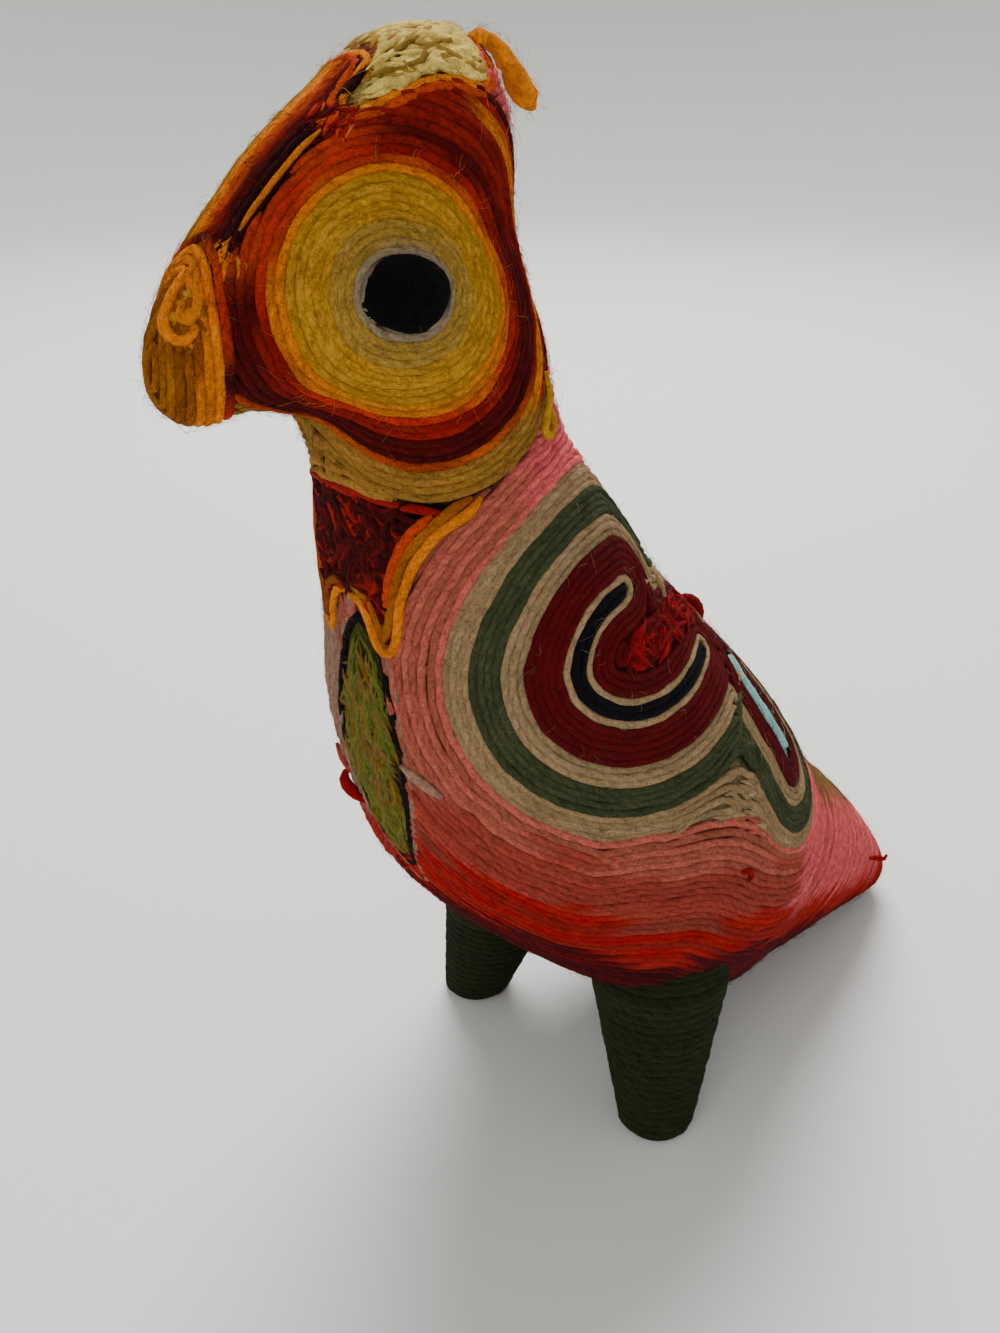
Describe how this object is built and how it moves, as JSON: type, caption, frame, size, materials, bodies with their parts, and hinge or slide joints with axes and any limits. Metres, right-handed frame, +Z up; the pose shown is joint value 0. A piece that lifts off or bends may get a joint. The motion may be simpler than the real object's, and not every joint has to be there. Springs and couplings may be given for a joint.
{
  "type": "bird figurine",
  "caption": "Standing bird figurine covered in coiled wool yarn, with a round eye on each side, a hooked beak, two cone legs and a tail that rests on the table.",
  "frame": {"origin": "on the table, under the middle of the figure's overall size", "axes": "+Z up, the bird looks along -Y, its left side is +X"},
  "size_m": [0.0788, 0.184, 0.2009],
  "materials": {
    "body_wool": "rows of coloured wool yarn",
    "leg_wool": "dark green wool yarn, wound",
    "crest_wool": "felted golden wool yarn"
  },
  "bodies": {
    "root": {"bird_body": "body_wool", "left_leg": "leg_wool", "right_leg": "leg_wool", "crest_tuft": "crest_wool"}
  },
  "joints": []
}
